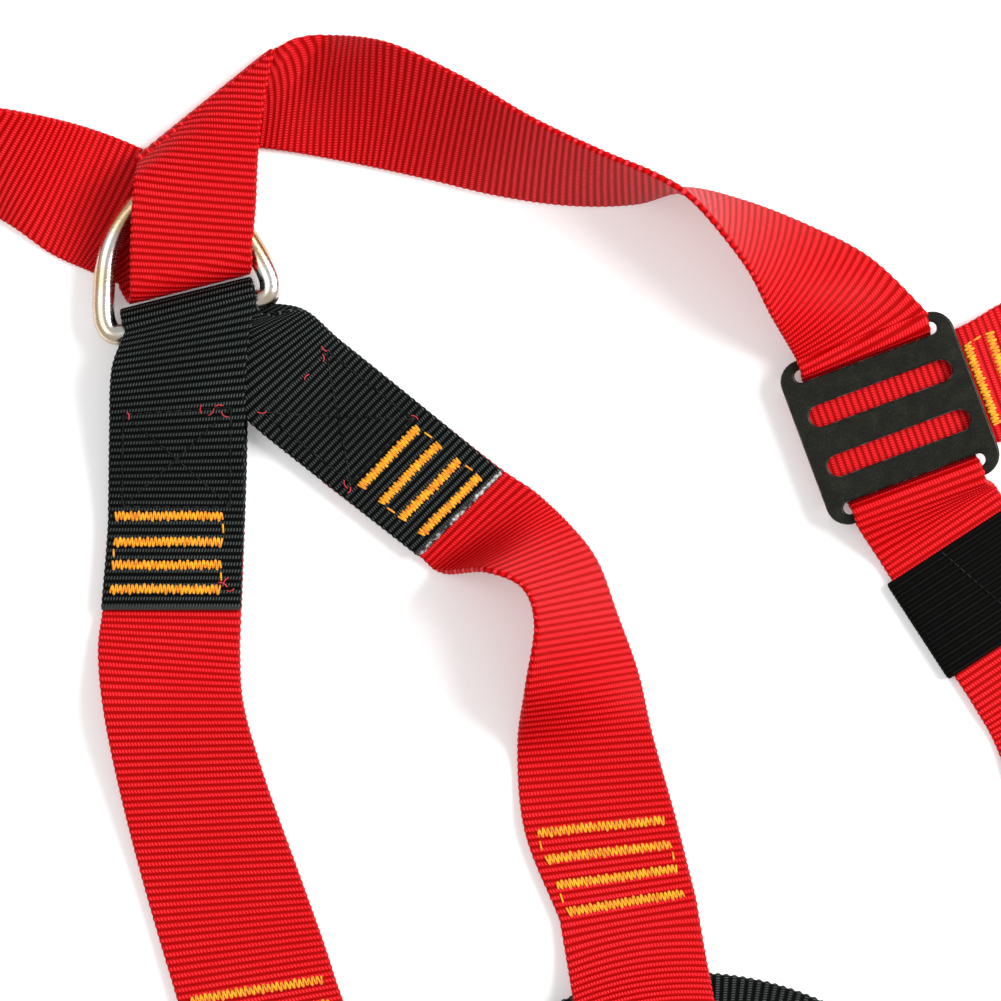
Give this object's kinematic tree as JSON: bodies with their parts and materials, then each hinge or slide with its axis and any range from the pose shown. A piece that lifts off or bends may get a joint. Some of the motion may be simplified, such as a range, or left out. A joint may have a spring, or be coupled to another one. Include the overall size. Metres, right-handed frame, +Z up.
{
  "type": "safety harness",
  "caption": "Full-body safety harness laid flat: red webbing straps through a steel ring, black wear loops, slotted adjusters, keepers and leg loops.",
  "frame": {"origin": "centre of the outline on the surface that the harness lies on", "axes": "+Z up from that surface, +Y from the leg loops towards the attachment ring, +X towards the right adjuster as seen from above"},
  "size_m": [0.6692, 0.5906, 0.0459],
  "materials": {
    "red_webbing": "ribbed woven polyester webbing, slight sheen",
    "black_webbing": "ribbed woven black webbing",
    "black_plate": "satin black coated steel plate",
    "plated_steel": "plated steel with a faint warm tint"
  },
  "bodies": {
    "webbing": {"shoulder_webbing_left": "red_webbing", "shoulder_webbing_ring_turn": "red_webbing", "shoulder_webbing_right": "red_webbing", "wear_loop_left": "black_webbing", "wear_loop_right": "black_webbing", "lower_strap_left": "red_webbing", "lower_strap_right": "red_webbing", "shoulder_webbing_right_lower": "red_webbing", "shoulder_webbing_left_lower": "red_webbing", "leg_loop_right": "black_webbing", "leg_loop_left": "black_webbing", "lower_eye_right": "red_webbing", "lower_eye_left": "red_webbing", "shoulder_eye_right": "red_webbing", "shoulder_eye_left": "red_webbing"},
    "ring": {"attachment_ring": "plated_steel"},
    "adjuster_right": {"adjuster_plate_right": "black_plate", "adjuster_webbing_right": "red_webbing", "side_strap_right": "red_webbing"},
    "chest_frame": {"chest_frame_right": "plated_steel"},
    "adjuster_left": {"adjuster_plate_left": "black_plate", "adjuster_webbing_left": "red_webbing", "side_strap_left": "red_webbing"},
    "chest_tongue": {"chest_tongue_left": "plated_steel"},
    "keeper_right_body": {"keeper_right": "black_webbing"},
    "keeper_left_body": {"keeper_left": "black_webbing"},
    "leg_buckle_right_body": {"leg_buckle_right": "black_plate", "leg_tail_right": "black_webbing"},
    "leg_buckle_left_body": {"leg_buckle_left": "black_plate", "leg_tail_left": "black_webbing"}
  },
  "joints": [
    {"name": "ring_swing", "type": "hinge", "parent": "webbing", "child": "ring", "pos_m": [-0.01594, 0.205, 0.0081], "axis": [0.9703, 0.2419, 0], "range_deg": [0, 6]},
    {"name": "adjuster_right_slide", "type": "slide", "parent": "webbing", "child": "adjuster_right", "axis": [-0.3486, 0.9373, 0], "range_m": [-0.006, 0.006], "deforming": ["shoulder_webbing_right", "shoulder_webbing_right_lower"]},
    {"name": "chest_frame_swing", "type": "hinge", "parent": "adjuster_right", "child": "chest_frame", "pos_m": [0.29604, 0.20646, 0.0056], "axis": [0.3486, -0.9373, 0], "range_deg": [0, 60]},
    {"name": "adjuster_left_slide", "type": "slide", "parent": "webbing", "child": "adjuster_left", "axis": [0.2756, 0.9613, 0], "range_m": [-0.006, 0.006], "deforming": ["shoulder_webbing_left", "shoulder_webbing_left_lower"]},
    {"name": "chest_tongue_swing", "type": "hinge", "parent": "adjuster_left", "child": "chest_tongue", "pos_m": [-0.29722, 0.18846, 0.0056], "axis": [0.2756, 0.9613, 0], "range_deg": [0, 60]},
    {"name": "keeper_right_slide", "type": "slide", "parent": "webbing", "child": "keeper_right_body", "axis": [0.5446, -0.8387, 0], "range_m": [0, 0.01]},
    {"name": "keeper_left_slide", "type": "slide", "parent": "webbing", "child": "keeper_left_body", "axis": [-0.2198, -0.9755, 0], "range_m": [0, 0.01]},
    {"name": "leg_buckle_right_slide", "type": "hinge", "parent": "webbing", "child": "leg_buckle_right_body", "pos_m": [0.14306, -0.104, 0.02], "axis": [0, 0, 1], "range_deg": [-4, 4]},
    {"name": "leg_buckle_left_slide", "type": "hinge", "parent": "webbing", "child": "leg_buckle_left_body", "pos_m": [-0.04694, -0.186, 0.02], "axis": [0, 0, 1], "range_deg": [-4, 4]}
  ]
}
